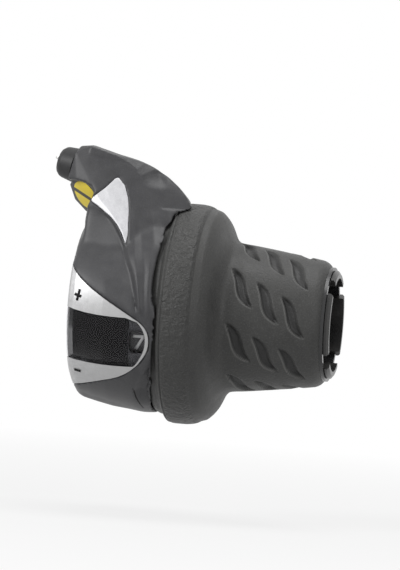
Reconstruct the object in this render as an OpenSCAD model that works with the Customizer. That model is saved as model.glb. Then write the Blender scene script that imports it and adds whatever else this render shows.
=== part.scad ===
// Twist grip shifter for the right-hand end of a 22.2 mm handlebar.
// Millimetres. The origin is the centre of the clamp bore on the bar's axis.
// +X runs along the bar to the grip's open end, -Y faces the rider, +Z is up.

/* [Handlebar clamp] */
// Diameter of the handlebar
bar_d = 22.2; // [22:0.1:22.4]
// Radial room between the bar and the clamp bore
clamp_fit = 0.05; // [0.02:0.01:0.15]
// Width of the clamp along the bar
clamp_w = 10; // [9:0.5:11]
// Wall of the clamp band
band_t = 3.4; // [3:0.2:4]
// Width of the slit that closes as the clamp is tightened
slit_w = 1.6; // [1:0.2:2.4]
// Shank diameter of the clamp screw
screw_d = 4.9; // [4.5:0.1:5]
// Head diameter of the clamp screw
screw_head_d = 8.5; // [8:0.1:8.8]
// Head height of the clamp screw
screw_head_h = 5; // [4:0.5:5.5]
// Distance of the clamp screw behind the bar's axis
screw_back = 16.6; // [16.2:0.1:17]
// Thickness of each clamp lug
lug_t = 3.8; // [3:0.2:4.4]

/* [Housing] */
// How far the turning collar stands out past the housing drum
collar_over = 2.2; // [1.8:0.1:2.4]
// How far the drum's centre lies in front of the bar's axis
drum_front = 1.5; // [1.2:0.1:1.8]
// Housing length to the left of the clamp's left edge
face_out = 0.2; // [0:0.1:0.4]
// Right end of the housing drum
drum_right = 16.4; // [16:0.1:16.8]
// Wall of the housing
wall = 1.6; // [1.4:0.1:1.8]
// Wall of the drum round the hollow that the mechanism turns in
cavity_wall = 1.2; // [1.1:0.05:1.3]
// Plane where the front cover meets the rear body
split_y = 4; // [3:0.5:5]
// Gap between the housing and the turning collar
collar_gap = 0.4; // [0.35:0.05:0.5]

/* [Horn and cable outlet] */
// Outside radius of the outlet neck
neck_r = 5; // [4.8:0.1:5.2]
// Distance of the neck's end to the left of the clamp's middle
neck_left = 8.05; // [7.8:0.05:8.4]
// Distance of the neck's end in front of the bar's axis
neck_front = 7.5; // [7.2:0.1:7.8]
// Height of the neck's end above the drum
neck_over = 9.2; // [9:0.1:9.6]
// Rise of the cable's axis above level, in degrees
neck_rise = 13; // [12:1:14]
// Heading of the cable's axis, in degrees from +X
neck_heading = 171.5; // [170:0.5:173]
// Rounding at the neck's mouth
neck_round = 0.7; // [0.4:0.1:0.9]
// Width of the horn seen from the front
horn_w = 30; // [29:0.5:30.5]
// Height of the horn from the drum's shoulder to its top
horn_h = 26.2; // [25:0.5:26.5]
// Depth of the horn from front to back
horn_d = 12.4; // [11:0.5:13]
// Depth of the bevel round the horn's flat face
bevel_d = 3.6; // [2.5:0.2:4.5]
// Lean of the horn's front face away from the rider, in degrees
horn_lean = 8; // [6:0.5:10]

/* [Adjuster barrel] */
// Radius of the barrel's head
barrel_r = 4.25; // [4:0.05:4.4]
// Length of the head outside the neck
barrel_l = 4.6; // [4.2:0.1:5]
// Radius of the barrel's threaded shank
shank_r = 3; // [2.95:0.01:3.05]
// Length of the shank inside the neck
shank_l = 7; // [6.5:0.1:7.5]
// Rounding of the barrel's end
barrel_round = 1.5; // [1:0.1:1.8]
// Outside radius of the casing seat cup
seat_r = 2.5; // [2.45:0.01:2.55]
// Bore radius of the cup, for a 4 mm cable casing
seat_bore_r = 2.05; // [2:0.01:2.1]
// Running clearance between round pieces that turn on each other
run_fit = 0.08; // [0.06:0.01:0.1]

/* [Indicator] */
// Width of the indicator bezel
bezel_w = 20.3; // [20:0.1:20.5]
// Height scale of the indicator bezel
bezel_h = 30; // [29:0.5:31]
// Thickness of the bezel
bezel_t = 1.2; // [1:0.1:1.25]
// Thickness of the clear lens
lens_t = 0.9; // [0.7:0.05:0.95]
// Width of the thin rim round the lens's right end
rim_w = 0.45; // [0.3:0.05:0.6]
// Thickness of the dark card under the lens
card_t = 0.2; // [0.15:0.05:0.25]
// Right edge of the dark card
card_right = 10.6; // [10.4:0.1:10.8]
// Angle of the gear number window below the front, in degrees
window_drop = 19; // [18:0.5:20]
// Height of the opening that shows one number
window_h = 5; // [4.6:0.1:5.2]

/* [Horn trim] */
// Width of the silver insert
insert_w = 10.4; // [10:0.1:10.8]
// Height of the silver insert
insert_h = 16.2; // [15.8:0.1:16.6]
// Depth of the silver insert
insert_t = 0.9; // [0.7:0.1:1.1]
// Radius of the faceted cable port cap
port_r = 3.7; // [3.5:0.1:3.9]
// Centre of the port cap's front face, measured from the neck's end
port_offset = [3.2, -4.5, -6.6];
// Length of the port cap
port_l = 6; // [5:0.5:7]
// Radius of the disc on the port cap
disc_r = 2.8; // [2.6:0.1:3]
// Thickness of the disc
disc_t = 0.3; // [0.2:0.05:0.4]

/* [Grip] */
// Left face of the rubber collar
collar_left = 14.8; // [14.7:0.05:14.9]
// Widest radius of the collar
collar_r = 27; // [26.8:0.1:27.2]
// Length of the collar to the end of its rim
collar_w = 12.7; // [12.4:0.1:13]
// Length of the fillet between collar and tube
flank_w = 4.6; // [4.2:0.1:5]
// Radius of the grip tube at its root
tube_root_r = 18.2; // [18:0.1:18.4]
// Radius of the grip tube near its end
tube_tip_r = 15.3; // [15.1:0.1:15.5]
// Right end of the rubber
rubber_right = 55.1; // [55:0.05:55.3]
// Rounding of the rubber's end
tip_round = 1.1; // [0.8:0.1:1.3]
// Wall of the turning core tube
core_t = 1.25; // [1.1:0.05:1.35]
// Right end of the turning core
core_right = 55.9; // [55.8:0.02:55.95]
// Wall of the core's flange and rim
flange_t = 1.4; // [1.2:0.1:1.6]
// Number of ribs inside the collar
rib_n = 12; // [8:1:16]
// Depth of a leaf groove
leaf_depth = 0.8; // [0.6:0.1:0.9]
// Length of a leaf groove
leaf_l = 11.6; // [11:0.1:12.4]
// Widest width of a leaf groove
leaf_w = 2.7; // [2.4:0.1:3]
// Lean of a leaf groove away from the round direction, in degrees
leaf_lean = 31; // [28:1:34]
// Rows of grooves round the grip
leaf_rows = 8; // [6:1:9]

/* [Fixed sleeve] */
// Radial room between the bar and the sleeve
sleeve_fit = 0.3; // [0.2:0.05:0.4]
// Wall of the sleeve
sleeve_t = 1.2; // [1.1:0.05:1.25]
// Right end of the sleeve's tabs
sleeve_right = 57.2; // [57:0.05:57.4]
// Height of the barb on each tab
barb_h = 0.55; // [0.4:0.05:0.65]
// Width of each slot between the tabs, in degrees
slot_deg = 20; // [16:1:24]
// Depth of the slots behind the barbs
slot_l = 9; // [8:0.5:12]
// Radius of the sleeve's end flange
sleeve_flange_r = 16.8; // [16.4:0.1:17.2]
// Thickness of the sleeve's end flange
sleeve_flange_t = 1.2; // [1:0.05:1.25]

/* [Indexing] */
// Turn between two gears, in degrees
click_deg = 12.5; // [12:0.5:13]
// Number of gears
gears = 7; // [6:1:7]
// Height of the detent ring, as a share of the room between hub and housing
detent_share = 0.46; // [0.42:0.01:0.5]
// Thickness of the detent ring along the bar
detent_w = 2; // [1.8:0.1:2.1]
// Radius of each detent notch
notch_r = 1.5; // [1.4:0.05:1.6]
// Thickness of the detent spring's leaf
leaf_spring_t = 0.5; // [0.4:0.05:0.6]
// Radius of the detent spring's nose
nose_r = 1.3; // [1.2:0.05:1.35]
// Thickness of the thrust washer
washer_t = 0.6; // [0.5:0.05:0.7]

/* [Spool, dial and wire] */
// Radius of the wire's centre on the spool
wind_r = 14.25; // [14.2:0.05:14.4]
// Diameter of the shift wire
wire_d = 1.1; // [1:0.05:1.2]
// Place of the wire along the bar
wire_x = 9; // [8.95:0.05:9.1]
// Width of the groove in the spool
groove_w = 1.8; // [1.6:0.1:1.9]
// Radius of the spool's flanges
spool_r = 17; // [16.8:0.1:17.1]
// Room between the number dial and the housing's hollow
dial_fit = 0.3; // [0.25:0.05:0.4]
// Thickness of the dial's band
dial_t = 0.8; // [0.7:0.05:0.9]
// Left edge of the dial's band
dial_left = 10.7; // [10.65:0.05:10.8]
// Right edge of the dial's band
dial_right = 14.5; // [14.4:0.05:14.6]
// Outside radius of the cable guide tube
guide_r = 1.3; // [1.2:0.05:1.35]
// Bore radius of the cable guide tube
guide_bore_r = 0.85; // [0.8:0.05:0.95]

/* [Hidden] */

$fn = 96;
// Sides of the round shapes that a hull joins
soft_fn = 28;
// Overrun of every cut past the face that it leaves
over = 1;
// Clearance between pieces that are fixed to each other
seat_gap = 0.05;
// Smallest gap between pieces that move past each other sideways
side_gap = 0.15;

drum_r = collar_r - collar_over;
cavity_r = drum_r - cavity_wall;
dial_r = cavity_r - dial_fit;
neck_at = [-neck_left, -neck_front, drum_r + neck_over];
neck_axis = [cos(neck_rise) * cos(neck_heading), cos(neck_rise) * sin(neck_heading), sin(neck_rise)];
port_at = neck_at + port_offset;

bar_r = bar_d / 2;
clamp_r = bar_r + clamp_fit;
band_r = clamp_r + band_t;
half_w = clamp_w / 2;
drum_left = -half_w - face_out;
drum_l = drum_right - drum_left;

// Drum outline: share of its length, share of its radius
drum_shares = [
  [0, 0.8], [0.006, 0.845], [0.03, 0.873], [0.08, 0.897], [0.24, 0.93],
  [0.43, 0.964], [0.62, 0.981], [0.78, 1], [0.9, 0.995], [1, 0.975]
];

// Horn outline seen from the front, from its lower left corner, as shares of its width and height
horn_shares = [
  [0.155, 0], [0.155, 0.44], [0.12, 0.6], [0.1, 0.985], [0.17, 1], [0.25, 0.992], [0.37, 0.95],
  [0.53, 0.893], [0.665, 0.827], [0.777, 0.746], [0.865, 0.662], [0.938, 0.573], [0.985, 0.49],
  [1.005, 0.37], [1.005, 0]
];
// Flat face of the horn, inside the bevel along its top and right, as the same shares
face_shares = [
  [0.16, 0.3], [0.16, 0.44], [0.12, 0.6], [0.1, 0.935], [0.17, 0.965], [0.25, 0.95], [0.38, 0.88],
  [0.5, 0.8], [0.58, 0.71], [0.63, 0.6], [0.655, 0.45], [0.67, 0.3]
];
// Notch under the neck, where the port cap shows, as the same shares
notch_shares = [
  [-0.3, 0], [0.155, 0], [0.152, 0.27], [0.158, 0.385], [0.19, 0.44], [0.212, 0.51], [0.185, 0.57],
  [0.12, 0.615], [0.02, 0.64], [-0.3, 0.65]
];
// Section of the neck at its mouth, as shares of its radius
mouth_shares = [[1, 0.55], [0.6, 1], [-0.6, 1], [-1, 0.55], [-1, -0.55], [-0.6, -1], [0.6, -1], [1, -0.55]];
horn_left = neck_at[0] - 0.1 * neck_r;
horn_low = neck_at[2] - 4 * neck_r;
horn_front = -drum_front - 0.57 * drum_r;
// Foot of the horn's face, where it runs off the drum
foot_at = [horn_left + 0.155 * horn_w, -0.715 * drum_r, horn_low];
foot_w = 0.5 * drum_r;
foot_turn = 13.5;
bend_at = neck_at + [1.3, -0.02, 0.02] * neck_r;
bend_r = neck_r;

inner_left = drum_left + wall;
// Wall between the clamp and the mechanism
plate_left = half_w - wall + side_gap;
pocket_r = cavity_r - 1.5 * wall;

sleeve_bore_r = bar_r + sleeve_fit;
sleeve_r = sleeve_bore_r + sleeve_t;
core_bore_r = sleeve_r + run_fit;
core_r = core_bore_r + core_t;

washer_left = half_w + sleeve_flange_t;
spool_left = washer_left + washer_t + side_gap;
hub_r = core_bore_r + 1.15 * core_t;
detent_r = hub_r + detent_share * (cavity_r - hub_r);
spool_right = collar_left - side_gap;
groove_left = wire_x - groove_w / 2;
groove_right = wire_x + groove_w / 2;
groove_r = wind_r - wire_d / 2 - 2 * seat_gap;
step_left = dial_left + side_gap;
seat_hub_r = hub_r + seat_gap;
detent_left = step_left + side_gap;
dial_web_left = detent_left + detent_w + side_gap / 3;
dial_web_right = dial_right - side_gap;

// The dial spans all numbers and half a number past each end
dial_turn = (gears - 1) * click_deg;
dial_end_deg = 0.56 * click_deg;
front_angle = 270;
detent_angle = 90;
spring_half_deg = 44;
clip_deg = 4;
nose_at_r = detent_r + 0.73 * nose_r;
spring_in_r = nose_at_r + 0.45 * nose_r;
spring_out_r = spring_in_r + leaf_spring_t;

bezel_left = drum_left - side_gap;
window_z = -dial_r * sin(window_drop);

// Bezel outline: ends and handles of four curves, as shares of its width and height
bezel_shares = [
  [[0, 0.347], [0.118, 0.18], [0.66, 0.013], [0.916, -0.092]],
  [[0.916, -0.092], [0.985, -0.123], [1.002, -0.193], [1, -0.25]],
  [[1, -0.25], [1, -0.333], [0.951, -0.41], [0.877, -0.45]],
  [[0.877, -0.45], [0.724, -0.547], [0.414, -0.62], [0, -0.653]]
];
// Window's top and bottom edges, as shares of the bezel's width and height
window_top_shares = [[0, -0.003], [0.22, -0.052], [0.5, -0.075], [1.02, -0.06]];
window_low_shares = [[1.02, -0.443], [0.6, -0.47], [0.25, -0.452], [0, -0.41]];

// Silver insert outline, from its lower left corner, as shares of its width and height
insert_shares = [
  [[0.61, 0.993], [0.91, 0.895], [1.03, 0.364], [0.98, 0]],
  [[0.98, 0], [0.76, 0.198], [0.375, 0.401], [0.048, 0.562]],
  [[0.048, 0.562], [-0.01, 0.605], [0.038, 0.636], [0.106, 0.679]],
  [[0.106, 0.679], [0.24, 0.772], [0.394, 0.883], [0.48, 0.951]],
  [[0.48, 0.951], [0.51, 0.988], [0.558, 1.006], [0.61, 0.993]]
];
// How far in front of the bar's axis the insert's pocket stops, as a share of the drum's radius
insert_share = 0.5;
insert_left = port_at[0] + 0.55 * port_r;
insert_low = port_at[2] - 0.7 * insert_h;

// Leaf grooves: share of the tube's length, and degrees above the front
leaf_shares = [[0.16, 25], [0.44, 14.5], [0.71, 4]];

// Rubber outline round the collar's left corner: share of collar width, share of collar radius
corner_shares = [[0, 0.889], [0.012, 0.903], [0.063, 0.93], [0.142, 0.967], [0.205, 0.983]];
// Rubber outline after the corner, as the same shares
rim_shares = [
  [0.25, 0.993], [0.255, 0.985], [0.275, 0.985], [0.28, 0.994], [0.37, 1], [0.61, 1],
  [0.79, 0.983], [0.82, 0.968], [0.9, 0.952], [0.95, 0.945], [1, 0.926]
];
// Flank outline: share of its length, share of its fall from the rim to the tube
flank_shares = [[0.35, 0.26], [0.57, 0.59], [0.7, 0.83], [0.82, 0.94], [1, 1]];
tube_left = collar_left + collar_w + flank_w;
tube_l = rubber_right - tube_left;
flange_right = collar_left + collar_w - flange_t;
rim_r = collar_r - 2 * flange_t;

// Screws that hold the front cover, from behind
cover_screw_z = 0.726 * drum_r;
cover_shank_r = 1.4;
cover_head_r = 2.4;
cover_head_h = 1.9;
cover_boss_r = 3;
cover_head_y = split_y + 2.9 * wall;
cover_shank_l = 0.6 * drum_r;

// Inner end of the casing seat, and the floor of its cup above that end
seat_low = -0.8 * seat_r;
seat_floor = 0.3 * seat_r;

// Spring round the barrel's shank, and its pocket in the neck
spring_wire_r = 0.28;
spring_l = 6;
spring_coil_r = shank_r + side_gap + spring_wire_r;
spring_pocket_r = spring_coil_r + spring_wire_r + side_gap;
spring_turns = 5;
spring_steps = 14;

// Route of the wire: round the spool, up through the horn, then out along the neck
wrap_deg = 55;
wrap_steps = 8;
wire_wrap = [
  for (i = [0 : wrap_steps - 1])
    let (b = -wrap_deg + i * wrap_deg / wrap_steps)
    [wire_x, -wind_r * cos(b), wind_r * sin(b)]
];
rise_steps = 14;
// The rise ends on the neck's axis just before the barrel's shank, and runs straight from there
rise_end = neck_at - 1.1 * shank_l * neck_axis;
wire_rise = bezier([
  [wire_x, -wind_r, 0], [wire_x, -wind_r, 0.65 * neck_at[2]],
  rise_end - 1.5 * neck_r * neck_axis, rise_end
], rise_steps);
wire_out = [
  for (step = [[0.6, 0.01], [0.95, 0.06], [1.3, 0.15]])
    neck_at + barrel_l * (step[0] * neck_axis + [0, 0, step[1]])
];
wire_route = concat(wire_wrap, wire_rise, [neck_at], wire_out);
// First and last step of the rise that the guide tube covers
guide_from = 4;
guide_to = 13;
guide_route = [for (i = [guide_from : guide_to]) wire_rise[i]];

// Head on the wire's end, seated in the spool
head_r = 1.9 * wire_d;
head_l = 3.1 * wire_d;
head_deg = wrap_deg + 7;

function bezier(p, n) = [
  for (i = [0 : n])
    let (t = i / n, u = 1 - t)
    u * u * u * p[0] + 3 * u * u * t * p[1] + 3 * u * t * t * p[2] + t * t * t * p[3]
];
function sized(points, w, h) = [for (p = points) [p[0] * w, p[1] * h]];
function chain(curves, n) = [for (c = curves) for (p = bezier(c, n)) p];
function unit(v) = v / norm(v);

// A direction that no route runs along
aside = [0.5, 1, 0.2];

// One ring of a swept tube round the point i of a route
function tube_ring(route, i, r, sides) =
  let (
    last = len(route) - 1,
    a = route[max(i - 1, 0)],
    b = route[min(i + 1, last)],
    along = unit(b - a),
    side = unit(cross(aside, along)),
    up = cross(along, side)
  )
  [for (k = [0 : sides - 1]) let (g = 360 * k / sides) route[i] + r * (cos(g) * side + sin(g) * up)];

module swept_tube(route, r, sides) {
  rings = len(route);
  points = [for (i = [0 : rings - 1]) for (p = tube_ring(route, i, r, sides)) p];
  walls = [
    for (i = [0 : rings - 2]) for (k = [0 : sides - 1])
      [
        i * sides + k, (i + 1) * sides + k,
        (i + 1) * sides + (k + 1) % sides, i * sides + (k + 1) % sides
      ]
  ];
  first = [for (k = [0 : sides - 1]) k];
  last = [for (k = [sides - 1 : -1 : 0]) (rings - 1) * sides + k];
  polyhedron(points, concat(walls, [first, last]), convexity = 8);
}

// Turns a shape made along +Z so that it lies along +X, on the bar's axis
module along_bar() rotate([0, 90, 0]) children();

module bar_disc(left, right, r) {
  translate([left, 0, 0]) along_bar() cylinder(h = right - left, r = r);
}

module bar_ring(left, right, inner, outer) {
  difference() {
    bar_disc(left, right, outer);
    bar_disc(left - over, right + over, inner);
  }
}

// A ring that covers only the stretch from one angle to another
module bar_arc(left, right, inner, outer, from, sweep) {
  along_bar() rotate([0, 0, from]) rotate_extrude(angle = sweep)
    translate([inner, left]) square([outer - inner, right - left]);
}

// Places a shape in the neck's frame, with +Z out along the cable
module on_neck() {
  translate(neck_at) rotate([0, 90 - neck_rise, neck_heading]) children();
}

// Turns an outline drawn in X and Z into a block that runs along Y
module front_prism(points, front, back) {
  translate([0, back, 0]) rotate([90, 0, 0]) linear_extrude(back - front) polygon(points);
}

// The housing's drum, made smaller by inset all over its skin. Its front half stands forward
// of the bar's axis, and its rear half is round the axis itself.
module drum(inset) {
  points = [for (p = drum_shares) [p[1] * drum_r - inset, drum_left + p[0] * drum_l]];
  for (centre = [-drum_front, 0]) translate([0, centre, 0]) along_bar() rotate_extrude()
    polygon(concat([[0, drum_left]], points, [[0, drum_right]]));
}

// Places a shape in the horn's own frame, whose front face leans away from the rider
module on_horn() {
  translate([horn_left, horn_front, horn_low]) rotate([-horn_lean, 0, 0]) children();
}

// A block with one of the horn's outlines, between two depths behind its front face
module horn_block(shares, front, back) {
  on_horn() front_prism(sized(shares, horn_w, horn_h), front, back);
}

// A thin disc of the neck, at a distance inside its mouth
module neck_disc(inside, r) {
  on_neck() translate([0, 0, -inside - seat_gap]) cylinder(h = seat_gap, r = r, $fn = soft_fn);
}

module horn() {
  difference() {
    hull() {
      horn_block(face_shares, 0, seat_gap);
      horn_block(horn_shares, bevel_d, horn_d - bevel_d);
      horn_block(face_shares, horn_d - seat_gap, horn_d);
      translate(foot_at) rotate([0, 0, -foot_turn]) cube([foot_w, seat_gap, seat_gap]);
      on_neck() translate([0, 0, -seat_gap])
        linear_extrude(seat_gap) polygon(sized(mouth_shares, neck_r, neck_r));
    }
    horn_block(notch_shares, -drum_r, drum_r);
  }
  hull() {
    translate(bend_at) sphere(bend_r, $fn = soft_fn);
    neck_disc(0, neck_r - neck_round / 2);
    neck_disc(neck_round, neck_r);
  }
}

// Space that the turning collar needs, with its gap
module collar_room() {
  grow = 0.8 * collar_gap;
  face = [0, collar_left - collar_gap];
  corner = [
    for (p = concat(corner_shares, [rim_shares[0]]))
      [p[1] * collar_r + grow, collar_left + p[0] * collar_w - grow]
  ];
  rim_x = collar_left + rim_shares[5][0] * collar_w;
  along_bar() rotate_extrude() polygon(concat(
    [face, face + [corner_shares[0][1] * collar_r, 0]], corner,
    [[collar_r + collar_gap, rim_x], [collar_r + collar_gap, tube_left], [0, tube_left]]
  ));
}

module bezel_prism() {
  points = sized(chain(bezel_shares, 8), bezel_w, bezel_h);
  far = [[-over, -0.66 * bezel_h], [-over, 0.4 * bezel_h]];
  translate([bezel_left, 0, 0])
    front_prism(concat(points, far), -2 * drum_r, 0);
}

module window_prism() {
  top = sized(bezier(window_top_shares, 6), bezel_w, bezel_h);
  low = sized(bezier(window_low_shares, 6), bezel_w, bezel_h);
  curves = [bezel_shares[1], bezel_shares[2]];
  right = [for (p = sized(chain(curves, 6), bezel_w, bezel_h)) p - [rim_w, 0]];
  points = concat(top, low, [[-over, low[6][1]], [-over, top[0][1]]]);
  translate([bezel_left, 0, 0]) intersection() {
    front_prism(points, -2 * drum_r, 0);
    front_prism(concat([[-over, 0.1 * bezel_h]], right, [[-over, -0.5 * bezel_h]]), -2 * drum_r, 0);
  }
}

module insert_prism(back) {
  points = sized(chain(insert_shares, 5), insert_w, insert_h);
  translate([insert_left, 0, insert_low]) front_prism(points, -2 * drum_r, back);
}

// The eight-sided port cap, cut short where the barrel's pocket passes above it
module port_prism(grow) {
  difference() {
    translate([port_at[0], port_at[1] - grow, port_at[2]]) rotate([-90, 0, 0]) rotate([0, 0, 22.5])
      cylinder(h = port_l + 2 * grow, r = port_r + grow, $fn = 8);
    on_neck() translate([0, 0, -2 * shank_l])
      cylinder(h = 3 * shank_l, r = spring_pocket_r + wall / 2 - grow);
  }
}

module cover_bosses(front, back) {
  for (side = [-1, 1])
    translate([0, front, side * cover_screw_z]) rotate([-90, 0, 0])
      cylinder(h = back - front, r = cover_boss_r);
}

module cover_screw_holes() {
  for (side = [-1, 1]) translate([0, 0, side * cover_screw_z]) {
    translate([0, cover_head_y - cover_shank_l - over, 0]) rotate([-90, 0, 0])
      cylinder(h = cover_shank_l + 2 * over, r = cover_shank_r + seat_gap);
    translate([0, cover_head_y, 0]) rotate([-90, 0, 0])
      cylinder(h = drum_r, r = cover_head_r + side_gap);
  }
}

module housing_hollow() {
  bar_disc(inner_left, plate_left, pocket_r);
  bar_disc(plate_left - seat_gap, drum_right + over, cavity_r);
  bar_disc(drum_left - over, inner_left + over, band_r + side_gap);
}

module front_half(front) {
  big = 4 * drum_r;
  translate([-big / 2, front ? split_y - big : split_y, -big / 2]) cube(big);
}

module front_cover() {
  color("dimgray") difference() {
    union() {
      intersection() {
        difference() {
          drum(0);
          housing_hollow();
        }
        front_half(true);
      }
      difference() {
        horn();
        housing_hollow();
      }
      intersection() {
        cover_bosses(-0.5 * drum_r, split_y);
        bar_disc(inner_left, plate_left - side_gap, pocket_r + seat_gap);
      }
    }
    collar_room();
    cover_screw_holes();
    port_prism(seat_gap);
    port_disc_block(seat_gap);
    difference() {
      bezel_prism();
      drum(bezel_t + seat_gap);
    }
    translate([dial_left + side_gap, -2 * drum_r, window_z - window_h / 2])
      cube([dial_right - dial_left - 2 * side_gap, 2 * drum_r, window_h]);
    difference() {
      insert_prism(-insert_share * drum_r);
      translate([0, insert_t + seat_gap, 0]) {
        drum(0);
        horn();
      }
    }
    swept_tube(guide_route, guide_r + seat_gap, 12);
    on_neck() {
      translate([0, 0, -shank_l - 4 * over]) cylinder(h = shank_l + 5 * over, r = shank_r + run_fit);
      translate([0, 0, -spring_l]) cylinder(h = spring_l + over, r = spring_pocket_r);
    }
  }
}

module clamp_base() {
  color([0.16, 0.16, 0.17]) difference() {
    union() {
      intersection() {
        difference() {
          drum(0);
          housing_hollow();
        }
        front_half(false);
      }
      bar_disc(-half_w, half_w, band_r);
      bar_disc(plate_left, half_w, cavity_r - seat_gap);
      intersection() {
        union() {
          cover_bosses(split_y, drum_r);
          translate([inner_left - seat_gap, bar_r + band_t / 2, -lug_t - slit_w / 2])
            cube([clamp_w - wall, drum_r / 2, 2 * lug_t + slit_w]);
        }
        drum(0);
      }
      for (side = [-1, 1])
        bar_arc(
          half_w - seat_gap, dial_right, spring_out_r + seat_gap, cavity_r + wall / 3,
          detent_angle + side * (spring_half_deg - clip_deg) - clip_deg, 2 * clip_deg
        );
    }
    bar_disc(-half_w - over, half_w + over, clamp_r);
    translate([drum_left - over, bar_r / 2, -slit_w / 2])
      cube([half_w - drum_left + over + seat_gap, drum_r, slit_w]);
    translate([0, screw_back, -2 * drum_r]) cylinder(h = 4 * drum_r, r = screw_d / 2 + 2 * seat_gap);
    for (side = [0, 1]) mirror([0, 0, side])
      translate([0, screw_back, slit_w / 2 + lug_t])
        cylinder(h = drum_r, r = screw_head_d / 2 + 0.4 * slit_w);
    cover_screw_holes();
    collar_room();
  }
}

module clamp_screw() {
  seat_z = -slit_w / 2 - lug_t;
  color("silver") translate([0, screw_back, 0]) difference() {
    union() {
      translate([0, 0, seat_z - screw_head_h]) cylinder(h = screw_head_h, r = screw_head_d / 2);
      translate([0, 0, seat_z - seat_gap]) cylinder(h = slit_w + 2 * lug_t + screw_d, r = screw_d / 2);
    }
    translate([0, 0, seat_z - screw_head_h - over])
      cylinder(h = screw_head_h / 2 + over, r = 0.47 * screw_d, $fn = 6);
  }
}

module clamp_nut() {
  color("silver") translate([0, screw_back, slit_w / 2 + lug_t]) difference() {
    cylinder(h = 0.8 * screw_d, r = 0.94 * screw_d, $fn = 6);
    translate([0, 0, -over]) cylinder(h = screw_d + 2 * over, r = screw_d / 2 + seat_gap);
  }
}

module cover_screws() {
  color("silver") for (side = [-1, 1]) translate([0, cover_head_y, side * cover_screw_z])
    rotate([-90, 0, 0]) difference() {
      union() {
        cylinder(h = cover_head_h, r = cover_head_r);
        translate([0, 0, -cover_shank_l]) cylinder(h = cover_shank_l + seat_gap, r = cover_shank_r);
      }
      for (turn = [0, 90]) rotate([0, 0, turn])
        translate([-cover_head_r * 0.6, -cover_head_r * 0.14, cover_head_h * 0.45])
          cube([cover_head_r * 1.2, cover_head_r * 0.28, cover_head_h]);
    }
}

module inner_sleeve() {
  barb_left = core_right + side_gap;
  barb_w = sleeve_right - barb_left;
  color([0.1, 0.1, 0.1]) difference() {
    union() {
      bar_disc(half_w, sleeve_right - barb_w / 2, sleeve_r);
      bar_disc(half_w, half_w + sleeve_flange_t, sleeve_flange_r);
      along_bar() rotate_extrude() polygon([
        [sleeve_bore_r, barb_left], [sleeve_r + barb_h, barb_left],
        [sleeve_r + barb_h, barb_left + 0.55 * barb_w],
        [sleeve_r - 0.3 * barb_h, sleeve_right], [sleeve_bore_r, sleeve_right]
      ]);
    }
    bar_disc(half_w - over, sleeve_right + over, sleeve_bore_r);
    for (k = [0 : 3])
      bar_arc(
        sleeve_right - slot_l, sleeve_right + over, sleeve_bore_r - over, sleeve_r + over,
        45 + 90 * k - slot_deg / 2, slot_deg
      );
  }
}

module thrust_washer() {
  color("silver")
    bar_ring(washer_left, washer_left + washer_t, sleeve_r + seat_gap, sleeve_flange_r - seat_gap);
}

// Side view of the detent spring: a leaf bent round the ring, with a round nose
module spring_outline() {
  reach = 2 * spring_out_r;
  ends = [for (k = [-1 : 1]) let (a = detent_angle + k * spring_half_deg) reach * [cos(a), sin(a)]];
  intersection() {
    difference() {
      circle(spring_out_r);
      circle(spring_in_r);
    }
    polygon(concat([[0, 0]], ends));
  }
  intersection() {
    circle(spring_in_r + leaf_spring_t / 2);
    translate([0, nose_at_r]) circle(nose_r);
  }
}

module detent_spring() {
  left = detent_left + side_gap;
  color("lightsteelblue") translate([left, 0, 0]) along_bar()
    linear_extrude(detent_w - 2 * side_gap) spring_outline();
}

module cable_guide() {
  color("whitesmoke") difference() {
    swept_tube(guide_route, guide_r, 12);
    swept_tube([for (i = [guide_from - 1 : guide_to + 1]) wire_rise[i]], guide_bore_r, 10);
  }
}

module inner_wire() {
  color("gainsboro") swept_tube(wire_route, wire_d / 2, 8);
}

module indicator_bezel() {
  color("silver") difference() {
    intersection() {
      bezel_prism();
      drum(0);
    }
    drum(bezel_t);
    window_prism();
    collar_room();
  }
}

module indicator_lens() {
  color([0.2, 0.2, 0.22, 0.5]) difference() {
    intersection() {
      window_prism();
      drum(0);
    }
    drum(lens_t);
    collar_room();
  }
}

module indicator_card() {
  color([0.05, 0.05, 0.06]) difference() {
    intersection() {
      window_prism();
      drum(lens_t + seat_gap);
      translate([drum_left, -2 * drum_r, -drum_r]) cube([card_right - drum_left, 2 * drum_r, 2 * drum_r]);
    }
    drum(lens_t + seat_gap + card_t);
  }
}

module silver_insert() {
  color("lightgray") difference() {
    intersection() {
      insert_prism(-insert_share * drum_r - seat_gap);
      union() {
        drum(0);
        horn();
      }
    }
    translate([0, insert_t, 0]) {
      drum(0);
      horn();
    }
    housing_hollow();
  }
}

module cable_port_cap() {
  color([0.06, 0.06, 0.06]) port_prism(0);
}

module port_disc_block(grow) {
  translate([port_at[0], port_at[1] - disc_t - grow, port_at[2]]) rotate([-90, 0, 0])
    cylinder(h = disc_t + 2 * grow, r = disc_r + grow);
}

module port_disc() {
  color("gold") difference() {
    port_disc_block(0);
    port_prism(0);
  }
}

module casing_seat() {
  color("dimgray") on_neck() translate([0, 0, seat_low]) difference() {
    cylinder(h = barrel_l - seat_low - 2 * side_gap, r = seat_r);
    translate([0, 0, seat_floor]) cylinder(h = barrel_l + shank_l, r = seat_bore_r);
    translate([0, 0, -over]) cylinder(h = 3 * over, r = guide_r);
  }
}

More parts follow.
